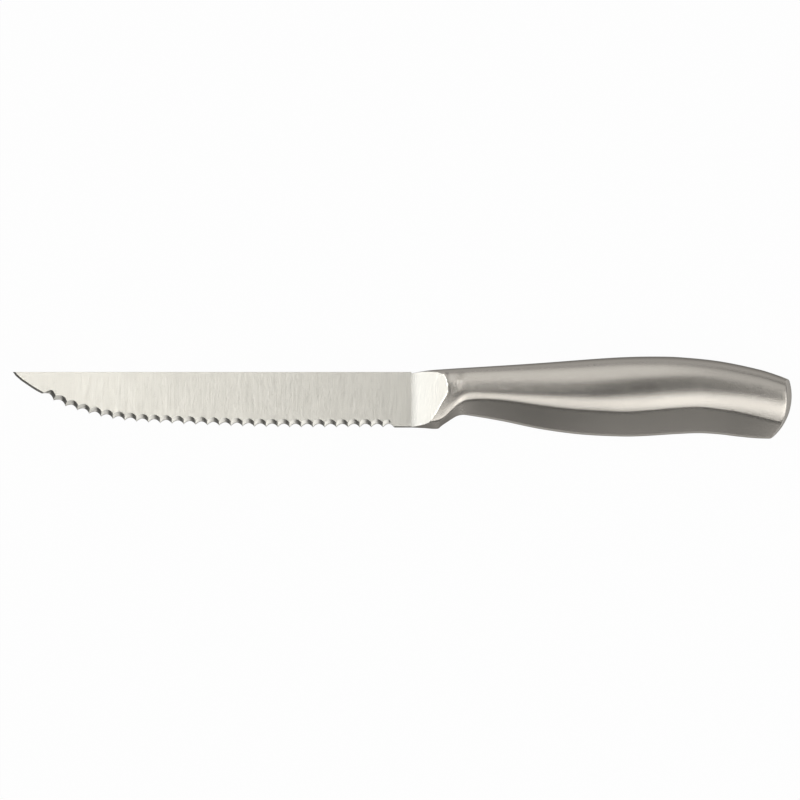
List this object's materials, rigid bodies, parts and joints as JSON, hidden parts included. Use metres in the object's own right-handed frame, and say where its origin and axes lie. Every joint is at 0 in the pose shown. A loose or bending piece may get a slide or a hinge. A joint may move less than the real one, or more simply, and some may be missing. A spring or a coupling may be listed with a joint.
{
  "type": "steak knife",
  "caption": "All-metal steak knife with a scalloped blade, a wedge-shaped bolster and a hollow, slightly swept handle, for cutting cooked meat at table.",
  "frame": {"origin": "middle of the bounding box's bottom face, with the knife lying on its right side", "axes": "+X from the tip to the butt, +Y from the cutting edge to the spine, +Z through the thickness, from the right side to the ground left side"},
  "size_m": [0.2252, 0.0238, 0.015],
  "materials": {
    "ground_steel": "fine grind lines across the blade",
    "polished_steel": "smooth, almost polished",
    "satin_steel": "matt satin",
    "bedding": "cast cement, hidden inside the handle"
  },
  "bodies": {
    "root": {"blade": "ground_steel", "bolster": "polished_steel", "left_shell": "satin_steel", "right_shell": "satin_steel", "butt_cap": "satin_steel", "tang_bedding": "bedding"}
  },
  "joints": []
}
